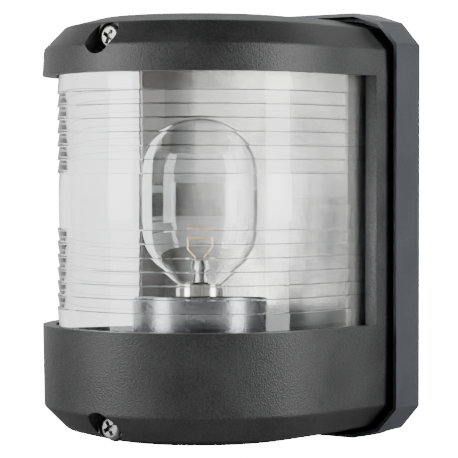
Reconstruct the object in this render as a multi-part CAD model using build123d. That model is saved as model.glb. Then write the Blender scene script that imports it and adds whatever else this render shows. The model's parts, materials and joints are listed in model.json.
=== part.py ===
from build123d import *
from math import atan, cos, degrees, radians, sin
import os

# Bulkhead navigation light for a small boat: black housing, clear ribbed lens, bayonet lamp.
# Millimetres, +Z up. The back plane is Y = 0, the light looks along -Y, and the origin is the
# centre of the back. Heights are first given from the lens centre and then raised by lens_z.

# Where the light sits on its base
lens_z = 8.25  # height of the lens centre above the origin
axis_y = -45.5  # the upright axis of the lens and the lamp
running_fit = 0.06  # radial play of pieces that turn
assembly_fit = 0.05  # radial play of fixed pieces
seal_gap = 0.1

# Base
base_depth = 13.0
base_rim = 1.2  # the rim's thickness
base_plate = 3.0
base_corner = ((36.5, 67.7), (46.2, 64.8), (53.0, 57.4))
base_corner_radius = 1.5
drain_x = 42.6
drain_width = 5.8
drain_height = 1.3
drain_depth = 1.6
deck_top = -49.5
deck_thickness = 3.0
deck_radius = 40.0
arm_half_width = 5.5
arm_front_y = -73.5
upper_arm_height = (45.0, 53.9)
lower_arm_height = (-72.0, -63.0)
web_half_width = 1.5
mount_hole_x = 32.0
mount_hole_z = (48.0, -62.0)
mount_hole_radius = 2.25
cable_hole_z = 15.0
cable_hole_radius = 6.0

# Cover
cover_radius = 49.75
cover_end_radius = 49.3
cover_back_y = -4.4
cover_corner_reach = 0.7
window_half_height = 39.0
window_back_y = -19.3
lens_room_radius = 45.6
lens_room_half_height = 43.0
ledge_radius = 41.5

# Cover screws
screw_z = (49.7, -68.7)
screw_shank_radius = 1.75
screw_head_radius = 3.65
screw_head_thickness = 2.4
cross_width = 1.3
cross_length = 4.8
cross_depth = 1.6
screw_head_y = -88.9
screw_tip_y = -62.0
pocket_radius = 4.4
pocket_mouth_radius = 5.25
boss_radius = 6.6
boss_back_y = -74.0
washer_thickness = 0.8
insert_radius = 2.6
insert_length = 9.0

# Lens
lens_tip_radius = 45.2
lens_root_radius = 44.55
lens_inner_radius = 42.7
lens_half_height = 41.5
lens_back_y = -14.0
lens_band = 8.53
rib_pitch = 4.17
rib_count = 6
band_bulge = 0.25

# Reflector
sheet = 0.8
reflector_y = -14.0
reflector_half_width = 42.3
reflector_half_height = 42.5
reflector_flange_y = -25.9
reflector_screw_y = reflector_y - 4.0
reflector_screw_x = 28.0
reflector_foot = (22.0, 34.0)
reflector_foot_reach = 8.0
reflector_skirt_half_width = 38.0

# Pedestal and lampholder
pedestal_top = -27.3
pedestal_radius = 21.5
pedestal_wall = 2.0
pedestal_screw_circle = 15.0
pedestal_boss_radius = 3.2
shell_inner_radius = 7.75
shell_wall = 0.85
shell_top = -27.5
holder_travel = 1.8
twist_angle = 20.0
stud_x = 3.6
stud_radius = 1.2
disc_radius = 7.4
disc_top = -41.7
disc_thickness = 2.5

# Terminal block
block_front_y = -12.8
clamp_front_y = -11.5
clamp_back_y = -5.5
clamp_half_width = 2.5
clamp_height = (-44.6, -39.5)
wire_hole_y = -8.2
clamp_screw_z = -42.5

# Cable grommet
grommet_flange_radius = 8.5
grommet_bore_radius = 3.0

# Lamp
bulb_radius = 18.3
bulb_centre = 4.2
glass_wall = 0.8
cap_radius = 7.5
cap_top = -23.2
cap_bottom = -39.7
pin_z = -33.2
pin_radius = 1.0
pin_root = 6.6
pin_reach = 8.7
filament_z = -8.0
filament_half_length = 5.0

lamp_axis = Axis((0, axis_y, 0), (0, 0, 1))


def polygon(points):
    """A flat face through the points, in the X-Z plane that holds the lamp axis."""
    plane = Plane(origin=(0, axis_y, lens_z), x_dir=(1, 0, 0), z_dir=(0, -1, 0))
    return plane * make_face(Polyline(*points, close=True))


def turned(face, arc=360):
    """The face swept about the lamp axis, by the front for a half turn."""
    return revolve(face, Axis((0, axis_y, 0), (0, 0, -1)), arc)


def d_shaped(points, back_y):
    """A profile given as (radius, height): turned by the front, then straight to back_y."""
    half = polygon(points)
    whole = half + mirror(half, Plane.YZ)
    return turned(half, 180) + extrude(whole, amount=axis_y - back_y)


def block(x_range, y_range, z_range):
    """A box between limits, with heights from the lens centre."""
    size = [high - low for low, high in (x_range, y_range, z_range)]
    centre = [(high + low) / 2 for low, high in (x_range, y_range, z_range)]
    return Pos(centre[0], centre[1], centre[2] + lens_z) * Box(*size)


def rod(radius, start, direction, length):
    """A cylinder from its start point, with heights from the lens centre."""
    origin = (start[0], start[1], start[2] + lens_z)
    plane = Plane(origin=origin, z_dir=direction)
    return extrude(plane * Circle(radius), amount=length)


def upright(radius, x, y, low, high):
    return rod(radius, (x, y, low), (0, 0, 1), high - low)


def rearward(radius, x, z, front_y, back_y):
    return rod(radius, (x, front_y, z), (0, 1, 0), back_y - front_y)


def base_outline():
    """The back's outline: upright sides with two facets at each corner."""
    corner = list(base_corner)
    right_top = [(x, z - lens_z) for x, z in corner]
    right_low = [(x, -z - lens_z) for x, z in reversed(corner)]
    right = right_top + right_low
    left = [(-x, z) for x, z in reversed(right)]
    outline = polygon(right + left)
    return fillet(outline.vertices(), base_corner_radius)


def eased(points, reach):
    """The points with each clear corner, except on the axis, rounded over this reach."""
    result = []
    for i, point in enumerate(points):
        corner = Vector(*point)
        before = (Vector(*points[i - 1]) - corner).normalized()
        after = (Vector(*points[(i + 1) % len(points)]) - corner).normalized()
        if point[0] == 0 or before.get_angle(after) > 170:
            result.append(point)
            continue
        for share in (0, 1 / 3, 2 / 3, 1):
            place = corner + before * reach * (1 - share) ** 2 + after * reach * share ** 2
            result.append((place.X, place.Y))
    return result


def cover_profile():
    """Half of the cover's outside: two caps with a chamfer and a facet, slightly drafted."""
    return [
        (0, 57.2),
        (30.8, 57.2),
        (42.5, 54.3),
        (cover_end_radius, 47.3),
        (cover_radius, window_half_height),
        (cover_radius, -window_half_height),
        (cover_end_radius, -64.6),
        (42.2, -71.6),
        (30.8, -74.45),
        (0, -74.45),
    ]


def cover_room():
    """Half of the cover's inside, with a ledge above and below the lens."""
    return [
        (0, 54.4),
        (30.2, 54.4),
        (ledge_radius, 50.8),
        (ledge_radius, lens_room_half_height),
        (lens_room_radius, lens_room_half_height),
        (lens_room_radius, -lens_room_half_height),
        (ledge_radius, -lens_room_half_height),
        (ledge_radius, -45.5),
        (46.0, -45.5),
        (46.0, -63.4),
        (40.9, -68.5),
        (30.2, -72.4),
        (0, -72.4),
    ]


def make_base():
    """The tray's back plate, with mounting holes, the cable's hole and two drains."""
    plate = extrude(Pos(0, -axis_y, 0) * base_outline(), amount=base_plate)
    plate -= rearward(cable_hole_radius, 0, cable_hole_z - lens_z, -base_plate, 0)
    for side in (-1, 1):
        for height in mount_hole_z:
            plate -= rearward(mount_hole_radius, side * mount_hole_x, height - lens_z, -base_plate, 0)
        plate -= drain(side)
    return plate


def make_rim():
    """The tray's thin rim, which stands on the edge of the back plate."""
    edge = Pos(0, -base_plate - axis_y, 0) * base_outline()
    ring = edge - offset(edge, -base_rim, kind=Kind.INTERSECTION)
    return extrude(ring, amount=base_depth - base_plate)


def make_deck():
    """The level deck under the lamp. It stands on the back plate and is moulded in one with it."""
    deck_low = deck_top - deck_thickness
    outline = [(0, deck_low), (deck_radius, deck_low), (deck_radius, deck_top), (0, deck_top)]
    deck = d_shaped(outline, -base_plate)
    for x, y in pedestal_screw_places():
        deck -= upright(1.6, x, y, deck_low, deck_top)
    for side in (-1, 1):
        deck -= upright(1.3, side * reflector_screw_x, reflector_screw_y, deck_low, deck_top)
    return deck


def screw_arm(height, low, high):
    """An arm out of the back plate, bored for a cover screw's insert."""
    arm = block((-arm_half_width, arm_half_width), (arm_front_y, -base_plate), (low, high))
    arm -= rearward(insert_radius + assembly_fit, 0, height, arm_front_y, arm_front_y + insert_length)
    return arm - rearward(screw_shank_radius + 0.35, 0, height, arm_front_y, screw_tip_y + 2)


def make_lower_arm():
    """The lower arm, with the web that carries the deck."""
    web_height = (lower_arm_height[1], deck_top - deck_thickness)
    web = block((-web_half_width, web_half_width), (arm_front_y, -base_plate), web_height)
    return screw_arm(screw_z[1], *lower_arm_height) + web


def drain(side):
    """A shallow notch at the back of the lower facet, which lets water out from behind."""
    (inner_x, inner_z), (outer_x, outer_z) = base_corner[0], base_corner[1]
    fall = (inner_z - outer_z) / (outer_x - inner_x)
    height = fall * (drain_x - inner_x) - inner_z
    turn = Rot(0, -side * degrees(atan(fall)), 0)
    notch = Box(drain_width, drain_depth, 2 * drain_height)
    return Pos(side * drain_x, -drain_depth / 2, height) * turn * notch


def make_cover():
    outside = d_shaped(eased(cover_profile(), cover_corner_reach), cover_back_y)
    cover = outside - d_shaped(cover_room(), cover_back_y)
    for height in screw_z:
        boss = rearward(boss_radius, 0, height, -96.0, boss_back_y)
        cover += boss & outside
    window = (-window_half_height, window_half_height)
    cover -= block((-60, 60), (-100, window_back_y), window)
    seat_y = screw_head_y + screw_head_thickness + washer_thickness
    for height in screw_z:
        cover -= rearward(pocket_radius, 0, height, -100, seat_y)
        cover -= rearward(pocket_mouth_radius, 0, height, -100, screw_head_y + 0.4)
        cover -= rearward(screw_shank_radius + running_fit, 0, height, seat_y, boss_back_y)
    return cover


def lens_profile():
    """Outer ribs as saw teeth, thick towards the middle, round a slightly bulged band."""
    ring = [lens_band + rib_pitch * n for n in range(rib_count + 1)]
    upper = [(lens_inner_radius, lens_half_height), (lens_root_radius, lens_half_height)]
    for height in reversed(ring):
        upper += [(lens_tip_radius, height), (lens_root_radius, height)]
    lower = [(radius, -height) for radius, height in reversed(upper)]
    bulge = [(lens_root_radius + band_bulge, 0)]
    return upper + bulge + lower


def make_gasket(low, high):
    ring = [(43.0, low), (45.3, low), (45.3, high), (43.0, high)]
    return d_shaped(ring, lens_back_y)


def make_cover_seal():
    outline = polygon(cover_profile())
    outline += mirror(outline, Plane.YZ)
    ring = offset(outline, -0.4, kind=Kind.INTERSECTION) - offset(outline, -2.0, kind=Kind.INTERSECTION)
    thickness = -base_plate - cover_back_y - seal_gap
    return Pos(0, -base_plate - axis_y, 0) * extrude(ring, amount=thickness)


def make_reflector():
    """A folded sheet: a back wall, a flange along each side and two feet on the deck."""
    wall_y = (reflector_y, reflector_y + sheet)
    height = (-reflector_half_height, reflector_half_height)
    reflector = block((-reflector_half_width, reflector_half_width), wall_y, height)
    skirt = (-reflector_skirt_half_width, reflector_skirt_half_width)
    reflector += block(skirt, wall_y, (deck_top + 2, -reflector_half_height))
    for side in (-1, 1):
        flange_x = sorted((side * (reflector_half_width - sheet), side * reflector_half_width))
        reflector += block(flange_x, (reflector_flange_y, reflector_y), height)
        foot_x = sorted(side * x for x in reflector_foot)
        reflector += block(foot_x, wall_y, (deck_top, deck_top + 2))
        foot_y = (reflector_y - reflector_foot_reach, reflector_y)
        reflector += block(foot_x, foot_y, (deck_top, deck_top + sheet))
        screw_x = side * reflector_screw_x
        reflector -= upright(1.6, screw_x, reflector_screw_y, deck_top - 1, deck_top + 2)
    return reflector


def pan_screw(x, y, seat, direction, shank, length, head, head_height):
    """A slotted pan-head screw that points along direction from its seat."""
    start = Vector(x, y, seat)
    way = Vector(*direction)
    body = rod(shank, (start.X, start.Y, start.Z), direction, length)
    top = start - way * head_height
    body += rod(head, (top.X, top.Y, top.Z), direction, head_height)
    slot_plane = Plane(origin=(top.X, top.Y, top.Z + lens_z), z_dir=direction)
    return body - slot_plane * Box(0.6, 2 * head, head_height)


def make_reflector_screws():
    seat = deck_top + sheet
    return [pan_screw(side * reflector_screw_x, reflector_screw_y, seat, (0, 0, -1), 1.25, 3.5, 2.5, 1.5)
            for side in (-1, 1)]


def pedestal_screw_places():
    circle = pedestal_screw_circle
    angles = [radians(angle) for angle in (45, 135, 225, 315)]
    return [(circle * cos(angle), axis_y + circle * sin(angle)) for angle in angles]


def make_pedestal():
    shape = [
        (0, deck_top),
        (pedestal_radius, deck_top),
        (pedestal_radius, pedestal_top - 0.6),
        (pedestal_radius - 0.6, pedestal_top),
        (0, pedestal_top),
    ]
    pedestal = turned(polygon(shape))
    room = pedestal_radius - pedestal_wall
    hollow = upright(room, 0, axis_y, deck_top, pedestal_top - pedestal_wall)
    for x, y in pedestal_screw_places():
        hollow -= upright(pedestal_boss_radius, x, y, deck_top, pedestal_top)
    pedestal -= hollow
    pedestal -= upright(pin_reach + 0.4, 0, axis_y, deck_top, pedestal_top)
    for x, y in pedestal_screw_places():
        pedestal -= upright(1.5, x, y, deck_top, deck_top + 9)
    return pedestal - lead_slot()


def make_pedestal_screws():
    seat = deck_top - deck_thickness
    return [pan_screw(x, y, seat, (0, 0, 1), 1.45, 11, 2.8, 1.6) for x, y in pedestal_screw_places()]


def lead_slot():
    """The way in for the two leads, at the rear of the pedestal and the shell."""
    return block((-6, 6), (axis_y + 5, axis_y + 24), (deck_top, deck_top + 1.6))


def bayonet_slots():
    """Slanted slots in which the pins sink as the lamp turns, then an upright way out."""
    steps = 8
    cutters = []
    for half_turn in (0, 180):
        for step in range(steps + 1):
            share = step / steps
            angle = radians(half_turn + twist_angle * share)
            height = pin_z - holder_travel * share
            way = (cos(angle), sin(angle), 0)
            start = (5 * way[0], axis_y + 5 * way[1], height)
            cutters.append(rod(pin_radius + 0.12, start, way, 6))
        mouth = block((5, 11), (axis_y - 1.12, axis_y + 1.12), (pin_z - holder_travel, shell_top + 1))
        cutters.append(mouth.rotate(lamp_axis, half_turn + twist_angle))
    return cutters


def make_shell():
    outer = shell_inner_radius + shell_wall
    shell = upright(outer, 0, axis_y, deck_top, shell_top)
    shell += upright(9.05, 0, axis_y, deck_top, deck_top + 0.8)
    shell -= upright(shell_inner_radius, 0, axis_y, deck_top, shell_top)
    for cutter in bayonet_slots():
        shell -= cutter
    return shell - lead_slot()


def make_disc():
    disc = upright(disc_radius, 0, axis_y, disc_top - disc_thickness, disc_top)
    disc += upright(5.0, 0, axis_y, disc_top - disc_thickness - 0.6, disc_top)
    for side in (-1, 1):
        disc -= upright(stud_radius + assembly_fit, side * stud_x, axis_y, disc_top - 5, disc_top)
    return disc


def make_studs():
    tip = disc_top + 0.7
    tail = disc_top - disc_thickness - 1.2
    studs = []
    for side in (-1, 1):
        stud = upright(stud_radius, side * stud_x, axis_y, tail, tip)
        stud += upright(1.7, side * stud_x, axis_y, disc_top, tip)
        studs.append(stud)
    return studs


def make_holder_spring():
    """A coil spring between the deck and the sprung disc."""
    wire = 0.35
    low = deck_top + 0.45 + wire
    high = disc_top - disc_thickness - wire - 0.03
    coil_radius = 6.5
    path = Helix((high - low) / 2.5, high - low, coil_radius, center=(0, axis_y, low + lens_z))
    start = Plane(origin=path @ 0, z_dir=path % 0)
    return sweep(start * Circle(wire), path=path, is_frenet=True)


def make_leads():
    """Two springy strips from the terminals along the deck to the studs."""
    leads = []
    for side in (-1, 1):
        x = (side * stud_x - 1.25, side * stud_x + 1.25)
        floor = (deck_top, deck_top + 0.4)
        lead = block(x, (-8.4, -8.0), (deck_top, -44.7))
        lead += block(x, (axis_y + 1.5, -8.0), floor)
        lead += block(x, (axis_y + 1.1, axis_y + 1.5), (deck_top, disc_top - disc_thickness - 1.65))
        top = disc_top - disc_thickness - 1.25
        lead += block(x, (axis_y - 1.5, axis_y + 1.5), (top - 0.4, top))
        leads.append(lead)
    return leads


def make_terminal_block():
    body = block((-9.5, 9.5), (block_front_y, -base_plate), (deck_top + 1, -37))
    play = 0.1
    room_y = (clamp_front_y - play, clamp_back_y + play)
    for side in (-1, 1):
        x = side * stud_x
        room_x = (x - clamp_half_width - play, x + clamp_half_width + play)
        body -= block(room_x, room_y, (deck_top, clamp_height[1] + play))
        body -= rearward(2.4, x, clamp_screw_z, block_front_y, clamp_front_y + 0.5)
        body -= upright(1.6, x, wire_hole_y, -40, -36)
    return body


def make_terminals():
    clamps = []
    for side in (-1, 1):
        x = side * stud_x
        clamp_x = (x - clamp_half_width, x + clamp_half_width)
        clamp = block(clamp_x, (clamp_front_y, clamp_back_y), clamp_height)
        clamp -= upright(1.5, x, wire_hole_y, *clamp_height)
        clamp -= rearward(1.25, x, clamp_screw_z, clamp_front_y, wire_hole_y)
        clamps.append(clamp)
    return clamps


def make_terminal_screws():
    seat_y = clamp_front_y - assembly_fit
    return [pan_screw(side * stud_x, seat_y, clamp_screw_z, (0, 1, 0), 1.2, 1.7, 2.2, 1.3)
            for side in (-1, 1)]


def make_grommet():
    grommet = rearward(cable_hole_radius - assembly_fit, 0, cable_hole_z - lens_z, -base_plate, 0)
    flange_y = -base_plate - 2
    grommet += rearward(grommet_flange_radius, 0, cable_hole_z - lens_z, flange_y, -base_plate)
    return grommet - rearward(grommet_bore_radius, 0, cable_hole_z - lens_z, flange_y, 0)


def make_cover_screw(height, cross_turn):
    """A pan-head screw with a cross recess, a grooved shank and a plain neck."""
    neck_y = screw_head_y + screw_head_thickness
    screw = rearward(screw_shank_radius, 0, height, neck_y, screw_tip_y)
    head_plane = Plane(origin=(0, neck_y, height + lens_z), z_dir=(0, -1, 0))
    head = extrude(head_plane * Circle(screw_head_radius), amount=screw_head_thickness)
    screw += fillet(head.faces().sort_by(Axis.Y)[0].edges(), 1.1)
    for turn in (cross_turn, cross_turn + 90):
        wing = Box(cross_width, 2 * cross_depth, cross_length)
        screw -= Pos(0, screw_head_y, height + lens_z) * Rot(0, turn, 0) * wing
    groove = 0.35
    place = arm_front_y + 1.0
    while place < screw_tip_y - 1:
        ring = rearward(screw_shank_radius + 1, 0, height, place, place + groove)
        ring -= rearward(screw_shank_radius - 0.3, 0, height, place, place + groove)
        screw -= ring
        place += 2 * groove
    return screw


def make_washer(height):
    seat_y = screw_head_y + screw_head_thickness + running_fit
    back_y = screw_head_y + screw_head_thickness + washer_thickness
    washer = rearward(pocket_radius - 0.1, 0, height, seat_y, back_y)
    return washer - rearward(screw_shank_radius + running_fit, 0, height, seat_y, back_y)


def make_insert(height):
    back_y = arm_front_y + insert_length
    insert = rearward(insert_radius, 0, height, arm_front_y, back_y)
    return insert - rearward(screw_shank_radius + running_fit, 0, height, arm_front_y, back_y)


def bulb_outline(radius, neck, neck_low):
    """Half of the globe's outline: a dome, a short waist and a taper to the neck."""
    taper = radians(-50)
    low_centre = -bulb_centre
    taper_point = (radius * cos(taper), low_centre + radius * sin(taper))
    dome_middle = (radius * sin(radians(45)), bulb_centre + radius * cos(radians(45)))
    low_middle = (radius * cos(taper / 2), low_centre + radius * sin(taper / 2))
    edges = [
        ThreePointArc((0, bulb_centre + radius), dome_middle, (radius, bulb_centre)),
        Line((radius, bulb_centre), (radius, low_centre)),
        ThreePointArc((radius, low_centre), low_middle, taper_point),
        Line(taper_point, (neck, cap_top + 0.05)),
        Line((neck, cap_top + 0.05), (neck, neck_low)),
        Line((neck, neck_low), (0, neck_low)),
        Line((0, neck_low), (0, bulb_centre + radius)),
    ]
    plane = Plane(origin=(0, axis_y, lens_z), x_dir=(1, 0, 0), z_dir=(0, -1, 0))
    return plane * make_face(edges)


def make_bulb():
    outer = turned(bulb_outline(bulb_radius, cap_radius - 0.5, cap_top - 5))
    inner = turned(bulb_outline(bulb_radius - glass_wall, cap_radius - 1.3, cap_top - 6))
    return outer - inner


def make_cap():
    shape = [
        (cap_radius - 0.45, cap_top),
        (cap_radius, cap_top - 0.4),
        (cap_radius, cap_bottom + 1.0),
        (cap_radius - 1.0, cap_bottom),
        (cap_radius - 1.5, cap_bottom),
        (cap_radius - 0.45, cap_bottom + 1.2),
    ]
    cap = turned(polygon(shape))
    for side in (-1, 1):
        cap -= rod(pin_radius, (side * 5, axis_y, pin_z), (side, 0, 0), 5)
    return cap


def make_pins():
    length = pin_reach - pin_root
    return [rod(pin_radius, (side * pin_root, axis_y, pin_z), (side, 0, 0), length) for side in (-1, 1)]


def make_insulator():
    shape = [
        (0, cap_bottom - 0.7),
        (5.4, cap_bottom - 0.7),
        (6.0, cap_bottom),
        (6.9, cap_bottom + 1.2),
        (6.9, cap_bottom + 4.0),
        (0, cap_bottom + 4.0),
    ]
    return turned(polygon(shape))


def make_pads():
    low = cap_bottom - 1.2
    return [upright(1.9, side * stud_x, axis_y, low, cap_bottom - 0.7) for side in (-1, 1)]


def make_stem():
    shape = [
        (0, -28.0),
        (6.0, -28.0),
        (5.4, -25.5),
        (2.6, -22.0),
        (2.2, -19.5),
        (3.1, -17.0),
        (2.6, -14.8),
        (0, -14.2),
    ]
    stem = turned(polygon(shape))
    for wire in make_supports():
        stem -= wire
    return stem


def make_supports():
    """Two lead wires out of the stem and a looped support for the middle of the coil."""
    wire = 0.3
    wires = []
    for side in (-1, 1):
        foot = Vector(side * 1.4, axis_y, -15.0 + lens_z)
        knee = Vector(side * filament_half_length, axis_y, filament_z - 3 + lens_z)
        tip = Vector(side * filament_half_length, axis_y, filament_z + 0.3 + lens_z)
        path = FilletPolyline(foot, knee, tip, radius=1.2)
        wires.append(sweep(Plane(origin=foot, z_dir=knee - foot) * Circle(wire), path=path))
    return wires


def make_filament():
    """A coil that hangs between the two lead wires."""
    length = 2 * filament_half_length - 0.9
    start = (-length / 2, axis_y, filament_z + lens_z)
    path = Helix(0.62, length, 0.55, center=start, direction=(1, 0, 0))
    section = Plane(origin=path @ 0, z_dir=path % 0)
    return sweep(section * Circle(0.14), path=path, is_frenet=True)


def make_parts():
    lens_ring = (lens_half_height, lens_room_half_height)
    lower_ring = (-lens_room_half_height, -lens_half_height)
    return {
        "base_housing": make_base(),
        "base_rim": make_rim(),
        "base_deck": make_deck(),
        "upper_arm": screw_arm(screw_z[0], *upper_arm_height),
        "lower_arm": make_lower_arm(),
        "cover": make_cover(),
        "lens": d_shaped(lens_profile(), lens_back_y),
        "upper_lens_gasket": make_gasket(*lens_ring),
        "lower_lens_gasket": make_gasket(*lower_ring),
        "cover_seal": make_cover_seal(),
        "reflector": make_reflector(),
        "reflector_screws": make_reflector_screws(),
        "lamp_pedestal": make_pedestal(),
        "pedestal_screws": make_pedestal_screws(),
        "lampholder_shell": make_shell(),
        "contact_disc": make_disc(),
        "contact_studs": make_studs(),
        "holder_spring": make_holder_spring(),
        "contact_leads": make_leads(),
        "terminal_block": make_terminal_block(),
        "terminals": make_terminals(),
        "terminal_screws": make_terminal_screws(),
        "cable_grommet": make_grommet(),
        "upper_screw": make_cover_screw(screw_z[0], 30),
        "lower_screw": make_cover_screw(screw_z[1], -25),
        "upper_screw_washer": make_washer(screw_z[0]),
        "lower_screw_washer": make_washer(screw_z[1]),
        "upper_insert": make_insert(screw_z[0]),
        "lower_insert": make_insert(screw_z[1]),
        "lamp_glass": make_bulb(),
        "lamp_cap": make_cap(),
        "lamp_pins": make_pins(),
        "lamp_insulator": make_insulator(),
        "lamp_pads": make_pads(),
        "lamp_stem": make_stem(),
        "filament_supports": make_supports(),
        "filament": make_filament(),
    }


os.makedirs("parts", exist_ok=True)
for name, shape in make_parts().items():
    solids = shape if isinstance(shape, list) else [shape]
    export_step(Compound(children=[solid for piece in solids for solid in piece.solids()]),
                f"parts/{name}.step")
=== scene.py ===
import json
import math

import bmesh
import bpy
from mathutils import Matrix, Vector


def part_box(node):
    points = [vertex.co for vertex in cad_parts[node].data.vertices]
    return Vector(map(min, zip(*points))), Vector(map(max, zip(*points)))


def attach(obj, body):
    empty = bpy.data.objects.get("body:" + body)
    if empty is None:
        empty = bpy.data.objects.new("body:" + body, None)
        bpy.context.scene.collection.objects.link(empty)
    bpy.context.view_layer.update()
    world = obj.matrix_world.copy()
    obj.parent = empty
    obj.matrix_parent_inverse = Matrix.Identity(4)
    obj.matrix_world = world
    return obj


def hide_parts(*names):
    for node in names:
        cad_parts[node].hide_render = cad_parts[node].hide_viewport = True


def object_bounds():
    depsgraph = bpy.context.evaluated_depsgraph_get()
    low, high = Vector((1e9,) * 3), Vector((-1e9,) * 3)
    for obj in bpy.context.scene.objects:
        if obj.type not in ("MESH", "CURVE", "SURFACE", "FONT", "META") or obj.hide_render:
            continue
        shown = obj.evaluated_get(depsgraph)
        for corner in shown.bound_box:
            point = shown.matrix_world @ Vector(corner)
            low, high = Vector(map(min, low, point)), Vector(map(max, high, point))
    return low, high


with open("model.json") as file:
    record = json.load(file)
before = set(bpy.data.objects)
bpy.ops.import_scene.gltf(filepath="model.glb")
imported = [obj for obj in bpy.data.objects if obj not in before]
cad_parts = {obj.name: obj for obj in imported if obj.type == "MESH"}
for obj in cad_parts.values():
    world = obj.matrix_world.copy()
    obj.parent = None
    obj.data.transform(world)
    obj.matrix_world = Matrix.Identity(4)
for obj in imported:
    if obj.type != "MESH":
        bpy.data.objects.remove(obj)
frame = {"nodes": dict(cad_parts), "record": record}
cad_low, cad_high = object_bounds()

# The navigation light's looks, in metres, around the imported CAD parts. Places come from the frame.

MM = 0.001
joints = {joint["name"]: joint for joint in frame["record"]["behaviour"]["joints"]}
LAMP_AXIS = Vector(joints["lamp_twist"]["pos_m"])  # on the lamp's upright axis, at the lens centre
VIEW_AZIMUTH = math.radians(39.3)
TO_CAMERA = Vector((math.sin(VIEW_AZIMUTH), -math.cos(VIEW_AZIMUTH), 0))
RIGHT = Vector((math.cos(VIEW_AZIMUTH), math.sin(VIEW_AZIMUTH), 0))


# ---------------------------------------------------------------- mesh helpers

def finish_mesh(name, mesh, body, material, sharp_angle=35):
    """Links a mesh as a piece that rides on a body, with smooth faces and sharp corners."""
    mesh.validate()
    mesh.shade_smooth()
    mesh.set_sharp_from_angle(angle=math.radians(sharp_angle))
    piece = bpy.data.objects.new(name, mesh)
    bpy.context.scene.collection.objects.link(piece)
    piece.data.materials.append(material)
    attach(piece, body)
    return piece


def grid_mesh(name, rings):
    """A mesh through rings of points. Each ring is a closed loop, and both ends are capped."""
    mesh = bpy.data.meshes.new(name)
    size = len(rings[0])
    points = [point for ring in rings for point in ring]
    faces = []
    for i in range(len(rings) - 1):
        following = i + 1
        for j in range(size):
            k = (j + 1) % size
            faces.append((i * size + j, following * size + j, following * size + k, i * size + k))
    faces.append(tuple(range(size)))
    faces.append(tuple(reversed(range(len(points) - size, len(points)))))
    mesh.from_pydata([tuple(point) for point in points], [], faces)
    work = bmesh.new()
    work.from_mesh(mesh)
    bmesh.ops.recalc_face_normals(work, faces=work.faces)
    work.to_mesh(mesh)
    work.free()
    return mesh


def d_path(back_y, arc_steps=128, side_steps=12):
    """Stations of the D-shaped plan: a point on the mid line and the outward direction there."""
    stations = []
    depth = back_y - LAMP_AXIS.y
    for step in range(side_steps):
        share = 1 - step / side_steps
        stations.append((Vector((LAMP_AXIS.x, LAMP_AXIS.y + depth * share, 0)), Vector((1, 0, 0))))
    for step in range(arc_steps + 1):
        angle = math.pi * step / arc_steps
        outward = Vector((math.cos(angle), -math.sin(angle), 0))
        stations.append((Vector((LAMP_AXIS.x, LAMP_AXIS.y, 0)), outward))
    for step in range(side_steps):
        share = (step + 1) / side_steps
        stations.append((Vector((LAMP_AXIS.x, LAMP_AXIS.y + depth * share, 0)), Vector((-1, 0, 0))))
    return stations


def d_mesh(name, profile, back_y):
    """A closed profile of (radius, height) carried round the D-shaped plan and capped at its ends."""
    rings = []
    for middle, outward in d_path(back_y):
        rings.append([middle + outward * r + Vector((0, 0, LAMP_AXIS.z + z)) for r, z in profile])
    return grid_mesh(name, rings)


# ---------------------------------------------------------------- materials

def new_material(name, **values):
    """A material whose Principled shader has these values set on its own sockets."""
    material = bpy.data.materials.new(name)
    material.use_nodes = True
    shader = material.node_tree.nodes["Principled BSDF"]
    for key, value in values.items():
        shader.inputs[key.replace("_", " ")].default_value = value
    return material, material.node_tree, shader


def noise(tree, size, detail=3.0, stretch=(1, 1, 1)):
    """A noise pattern whose features are about size across, in object space."""
    coords = tree.nodes.new("ShaderNodeTexCoord")
    mapping = tree.nodes.new("ShaderNodeMapping")
    mapping.inputs["Scale"].default_value = stretch
    texture = tree.nodes.new("ShaderNodeTexNoise")
    texture.inputs["Scale"].default_value = 1 / size
    texture.inputs["Detail"].default_value = detail
    tree.links.new(coords.outputs["Object"], mapping.inputs["Vector"])
    tree.links.new(mapping.outputs["Vector"], texture.inputs["Vector"])
    return texture.outputs["Fac"]


def spread(tree, source, low, high, out_low, out_high):
    """Maps source from low..high to out_low..out_high."""
    node = tree.nodes.new("ShaderNodeMapRange")
    node.inputs["From Min"].default_value = low
    node.inputs["From Max"].default_value = high
    node.inputs["To Min"].default_value = out_low
    node.inputs["To Max"].default_value = out_high
    tree.links.new(source, node.inputs["Value"])
    return node.outputs["Result"]


def choose(tree, factor, off, on):
    """The value off where factor is 0, and on where it is 1."""
    node = tree.nodes.new("ShaderNodeMix")
    node.data_type = "FLOAT"
    node.inputs["B"].default_value = on
    tree.links.new(factor, node.inputs["Factor"])
    tree.links.new(off, node.inputs["A"])
    return node.outputs["Result"]


def blend_colours(tree, source, stops):
    """A colour ramp driven by source; stops are (position, colour)."""
    ramp = tree.nodes.new("ShaderNodeValToRGB")
    elements = ramp.color_ramp.elements
    while len(elements) < len(stops):
        elements.new(0.5)
    for element, (position, colour) in zip(elements, stops):
        element.position = position
        element.color = (*colour, 1)
    tree.links.new(source, ramp.inputs["Fac"])
    return ramp.outputs["Color"]


def bump(tree, shader, source, height, under=None):
    """Gives the shader a bump of that height in metres, on top of an earlier one if there is one."""
    node = tree.nodes.new("ShaderNodeBump")
    node.inputs["Distance"].default_value = height
    node.inputs["Strength"].default_value = 1.0
    tree.links.new(source, node.inputs["Height"])
    if under is not None:
        tree.links.new(under, node.inputs["Normal"])
    tree.links.new(node.outputs["Normal"], shader.inputs["Normal"])


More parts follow.
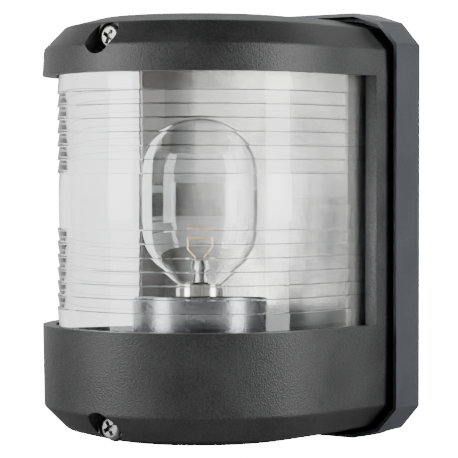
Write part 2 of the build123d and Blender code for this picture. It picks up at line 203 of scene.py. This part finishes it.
def moulded_plastic(name, dark, light, grain, grain_height, roughness):
    """Moulded plastic: a fine pebbled grain, slow shade changes and an uneven gloss."""
    material, tree, shader = new_material(name)
    fine = noise(tree, grain, detail=2.0)
    slow = noise(tree, 14 * MM, detail=4.0)
    mixed = tree.nodes.new("ShaderNodeMath")
    mixed.operation = "MULTIPLY_ADD"
    tree.links.new(fine, mixed.inputs[0])
    mixed.inputs[1].default_value = 0.8
    tree.links.new(spread(tree, slow, 0.3, 0.7, 0.0, 0.2), mixed.inputs[2])
    colour = blend_colours(tree, mixed.outputs["Value"], [(0.3, dark), (0.7, light)])
    tree.links.new(colour, shader.inputs["Base Color"])
    rough = spread(tree, slow, 0.3, 0.7, roughness - 0.04, roughness + 0.04)
    tree.links.new(rough, shader.inputs["Roughness"])
    bump(tree, shader, fine, grain_height)
    return material


def through_for_lamps(tree, shader):
    """Lets lamps' light straight through a clear shader, as thin clear walls nearly do."""
    path = tree.nodes.new("ShaderNodeLightPath")
    clear = tree.nodes.new("ShaderNodeBsdfTransparent")
    clear.inputs["Color"].default_value = (0.93, 0.94, 0.94, 1)
    mix = tree.nodes.new("ShaderNodeMixShader")
    tree.links.new(path.outputs["Is Shadow Ray"], mix.inputs["Fac"])
    tree.links.new(shader.outputs["BSDF"], mix.inputs[1])
    tree.links.new(clear.outputs["BSDF"], mix.inputs[2])
    output = tree.nodes["Material Output"]
    tree.links.new(mix.outputs["Shader"], output.inputs["Surface"])


def clear_material(name, colour, ior, ripple_size, ripple_height, rough_low, rough_high):
    """Clear moulding or glass with faint ripples and an uneven polish."""
    material, tree, shader = new_material(name, IOR=ior)
    shader.inputs["Base Color"].default_value = (*colour, 1)
    shader.inputs["Transmission Weight"].default_value = 1.0
    haze = noise(tree, 9 * MM, detail=4.0)
    tree.links.new(spread(tree, haze, 0.35, 0.75, rough_low, rough_high), shader.inputs["Roughness"])
    bump(tree, shader, noise(tree, ripple_size, detail=2.0), ripple_height)
    through_for_lamps(tree, shader)
    return material


def metal(name, colour_low, colour_high, rough_low, rough_high, size, height, stretch=(1, 1, 1)):
    """Metal with fine marks along one way, and a slightly uneven colour and polish."""
    material, tree, shader = new_material(name, Metallic=1.0)
    marks = noise(tree, size, detail=4.0, stretch=stretch)
    tone = noise(tree, 6 * MM, detail=3.0)
    colour = blend_colours(tree, tone, [(0.3, colour_low), (0.7, colour_high)])
    tree.links.new(colour, shader.inputs["Base Color"])
    tree.links.new(spread(tree, marks, 0.3, 0.7, rough_low, rough_high), shader.inputs["Roughness"])
    bump(tree, shader, marks, height)
    return material


BOW_OFFSET = 14 * MM  # the bow's flat line lies this far to -X of the lamp's axis
BOW_DEPTH = 2.6  # metres of bow per square metre across


def bowed_sheet(name):
    """Bright rolled sheet that bows a little towards the front, so its sheen changes across it."""
    material = metal(name, (0.34, 0.335, 0.325), (0.42, 0.415, 0.405), 0.19, 0.26,
                     1.2 * MM, 0.004 * MM, (1, 1, 0.06))
    tree = material.node_tree
    shader = tree.nodes["Principled BSDF"]
    shader.inputs["Metallic"].default_value = 0.8
    fine = shader.inputs["Normal"].links[0].from_socket
    coords = tree.nodes.new("ShaderNodeTexCoord")
    split = tree.nodes.new("ShaderNodeSeparateXYZ")
    tree.links.new(coords.outputs["Object"], split.inputs["Vector"])
    across = tree.nodes.new("ShaderNodeMath")
    across.operation = "ADD"
    across.inputs[1].default_value = BOW_OFFSET - LAMP_AXIS.x
    tree.links.new(split.outputs["X"], across.inputs[0])
    square = tree.nodes.new("ShaderNodeMath")
    square.operation = "POWER"
    square.inputs[1].default_value = 2.0
    tree.links.new(across.outputs["Value"], square.inputs[0])
    bow = tree.nodes.new("ShaderNodeMath")
    bow.operation = "MULTIPLY"
    bow.inputs[1].default_value = -BOW_DEPTH
    tree.links.new(square.outputs["Value"], bow.inputs[0])
    bump(tree, shader, bow.outputs["Value"], 1.0, under=fine)
    return material


def make_materials():
    plastic = moulded_plastic
    return {
        "cover_plastic": plastic("cover_plastic", (0.008, 0.008, 0.0085), (0.040, 0.040, 0.041),
                                 0.50 * MM, 0.14 * MM, 0.48),
        "base_plastic": plastic("base_plastic", (0.030, 0.035, 0.042), (0.042, 0.048, 0.057),
                                0.9 * MM, 0.012 * MM, 0.42),
        "pedestal_plastic": metal("pedestal_plastic", (0.20, 0.205, 0.215), (0.25, 0.255, 0.265),
                                  0.24, 0.29, 5 * MM, 0.002 * MM),
        "insulator_black": plastic("insulator_black", (0.02, 0.018, 0.016), (0.04, 0.036, 0.032),
                                   0.8 * MM, 0.02 * MM, 0.3),
        "seal_rubber": plastic("seal_rubber", (0.012, 0.012, 0.012), (0.026, 0.026, 0.026),
                               0.5 * MM, 0.03 * MM, 0.7),
        "lens_acrylic": clear_material("lens_acrylic", (0.985, 0.99, 0.99), 1.49,
                                       14 * MM, 0.03 * MM, 0.01, 0.035),
        "lamp_glass": clear_material("lamp_glass", (0.99, 0.995, 0.995), 1.5,
                                     11 * MM, 0.02 * MM, 0.0, 0.015),
        "reflector_sheet": bowed_sheet("reflector_sheet"),
        "screw_steel": metal("screw_steel", (0.30, 0.30, 0.29), (0.42, 0.42, 0.41),
                             0.34, 0.48, 0.5 * MM, 0.01 * MM),
        "spring_steel": metal("spring_steel", (0.45, 0.45, 0.46), (0.6, 0.6, 0.61),
                              0.25, 0.4, 0.5 * MM, 0.01 * MM),
        "brass": metal("brass", (0.66, 0.46, 0.19), (0.83, 0.62, 0.30),
                       0.2, 0.36, 0.6 * MM, 0.01 * MM),
        "cap_nickel": metal("cap_nickel", (0.86, 0.83, 0.76), (0.95, 0.93, 0.88),
                            0.10, 0.22, 0.8 * MM, 0.008 * MM, (1, 1, 4)),
        "solder": metal("solder", (0.5, 0.5, 0.5), (0.68, 0.68, 0.69),
                        0.35, 0.5, 0.7 * MM, 0.05 * MM),
        "filament_wire": metal("filament_wire", (0.62, 0.42, 0.18), (0.85, 0.62, 0.33),
                               0.2, 0.35, 0.3 * MM, 0.005 * MM),
    }


def paint_nodes(materials):
    """Gives each CAD node its finished material."""
    for subpart in frame["record"]["subparts"]:
        node = frame["nodes"][subpart["node"]]
        material = materials[subpart["material_slot"]]
        if not node.material_slots:
            node.data.materials.append(material)
        for place in node.material_slots:
            place.material = material


# ---------------------------------------------------------------- lens

def lens_profile(tip):
    """Ribs all of one size and spacing, a slightly bulged middle band and a plain inside."""
    root = tip - 0.65 * MM
    inner = tip - 2.5 * MM
    band = 8.53 * MM
    pitch = 4.17 * MM
    ribs = 7
    riser = 0.09 * MM
    top = (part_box("lens")[1].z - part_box("lens")[0].z) / 2
    upper = [(inner, top), (root, top)]
    for rib in reversed(range(ribs)):
        ring = band + pitch * rib
        upper += [
            (tip - 0.05 * MM, ring + 0.32 * MM),
            (tip, ring + 0.12 * MM),
            (tip - 0.05 * MM, ring),
            (root + 0.04 * MM, ring - riser),
            (root, ring - 2 * riser),
        ]
    bulge = 0.25 * MM
    middle = []
    for step in range(1, 8):
        height = (band - 2 * riser) * (1 - step / 4)
        middle.append((root + bulge * (1 - (height / band) ** 2), height))
    lower = [(radius, -height) for radius, height in reversed(upper)]
    inside = [(inner, top * (step / 6 - 1)) for step in range(1, 12)]
    return upper + middle + lower + inside


def make_lens(materials):
    low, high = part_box("lens")
    tip = (high.x - low.x) / 2
    mesh = d_mesh("clear_lens", lens_profile(tip), high.y)
    lens = finish_mesh("clear_lens", mesh, "cover", materials["lens_acrylic"], 6)
    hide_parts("lens")


# ---------------------------------------------------------------- stage, light and camera

GLOW_SEEN = 25.0  # the floor's own light, as seen directly
GLOW_THROUGH = 2.3  # the same through clear pieces
GLOW_REFLECTED = 0.85  # and in reflections, where it starts behind the object
ROOM_LIGHT = 0.06  # strength of the even light from all round
PANEL_SIZE = (0.36, 1.2)
PANEL_DISTANCE = 0.9
PANEL_POWER = 20.5
CAMERA_DISTANCE = 0.729
CAMERA_RISE = 8.7 * MM  # above the lens centre
AIM_RIGHT = 9.19 * MM  # of the lamp's axis
AIM_DROP = 9.14 * MM  # below the lens centre
FOCAL_LENGTH = 180.8  # in the lens's own millimetres
SENSOR_WIDTH = 36.0


def make_stage():
    """A white floor that curves up into a backdrop behind the light, lit from within: evenly where seen
    directly or through clear pieces, and in reflections only from a little behind the light on.
    """
    floor_z = cad_low.z
    radius = 0.5
    profile = [(-1.6, 0.0)]
    far = 1.3
    for step in range(25):
        angle = math.pi / 2 * step / 24
        profile.append((far + radius * math.sin(angle), radius * (1 - math.cos(angle))))
    profile.append((far + radius, 2.6))
    rows = []
    for along, height in profile:
        middle = Vector((LAMP_AXIS.x, LAMP_AXIS.y, floor_z + height)) - TO_CAMERA * along
        rows.append([middle - RIGHT * 3.2, middle + RIGHT * 3.2])
    mesh = bpy.data.meshes.new("backdrop")
    faces = [(2 * i, 2 * i + 1, 2 * i + 3, 2 * i + 2) for i in range(len(rows) - 1)]
    mesh.from_pydata([tuple(point) for row in rows for point in row], [], faces)
    mesh.shade_smooth()
    floor = bpy.data.objects.new("backdrop", mesh)
    bpy.context.scene.collection.objects.link(floor)
    material, tree, shader = new_material("pale_paper", Roughness=0.9)
    tone = blend_colours(tree, noise(tree, 0.2), [(0.3, (0.50, 0.50, 0.50)), (0.7, (0.56, 0.56, 0.56))])
    tree.links.new(tone, shader.inputs["Base Color"])
    shader.inputs["Emission Color"].default_value = (1, 1, 1, 1)
    coords = tree.nodes.new("ShaderNodeTexCoord")
    along = tree.nodes.new("ShaderNodeVectorMath")
    along.operation = "DOT_PRODUCT"
    along.inputs[1].default_value = -TO_CAMERA
    tree.links.new(coords.outputs["Object"], along.inputs[0])
    start = -TO_CAMERA.dot(LAMP_AXIS)
    behind = spread(tree, along.outputs["Value"], start + 0.1, start + 0.5, 0.0, GLOW_REFLECTED)
    path = tree.nodes.new("ShaderNodeLightPath")
    glow = choose(tree, path.outputs["Is Transmission Ray"], behind, GLOW_THROUGH)
    glow = choose(tree, path.outputs["Is Camera Ray"], glow, GLOW_SEEN)
    tree.links.new(glow, shader.inputs["Emission Strength"])
    mesh.materials.append(material)


def area_light(name, azimuth):
    """A soft level panel that faces the light. Azimuth 0 is in front of it and 90 on its +X side."""
    a = math.radians(azimuth)
    way = Vector((math.sin(a), -math.cos(a), 0))
    data = bpy.data.lights.new(name, "AREA")
    data.shape = "RECTANGLE"
    data.size, data.size_y = PANEL_SIZE
    data.energy = PANEL_POWER
    panel = bpy.data.objects.new(name, data)
    panel.location = LAMP_AXIS + way * PANEL_DISTANCE
    panel.rotation_euler = way.to_track_quat("Z", "Y").to_euler()
    bpy.context.scene.collection.objects.link(panel)


def make_lights():
    world = bpy.data.worlds.new("studio")
    world.use_nodes = True
    background = world.node_tree.nodes["Background"]
    background.inputs["Color"].default_value = (0.9, 0.95, 1.0, 1)
    background.inputs["Strength"].default_value = ROOM_LIGHT
    bpy.context.scene.world = world
    area_light("left_panel", -27)
    area_light("right_panel", 105)


def make_camera():
    """A level view from the front and right, from a little above the lens centre."""
    eye = LAMP_AXIS + TO_CAMERA * CAMERA_DISTANCE + Vector((0, 0, CAMERA_RISE))
    aim = LAMP_AXIS + RIGHT * AIM_RIGHT + Vector((0, 0, -AIM_DROP))
    data = bpy.data.cameras.new("camera")
    data.sensor_width = SENSOR_WIDTH
    data.lens = FOCAL_LENGTH
    data.clip_start = 0.01
    data.clip_end = 20.0
    camera = bpy.data.objects.new("camera", data)
    camera.location = eye
    camera.rotation_euler = (aim - eye).to_track_quat("-Z", "Y").to_euler()
    bpy.context.scene.collection.objects.link(camera)
    bpy.context.scene.camera = camera


# ---------------------------------------------------------------- all together

make_camera()
make_stage()
make_lights()
materials = make_materials()
paint_nodes(materials)
make_lens(materials)
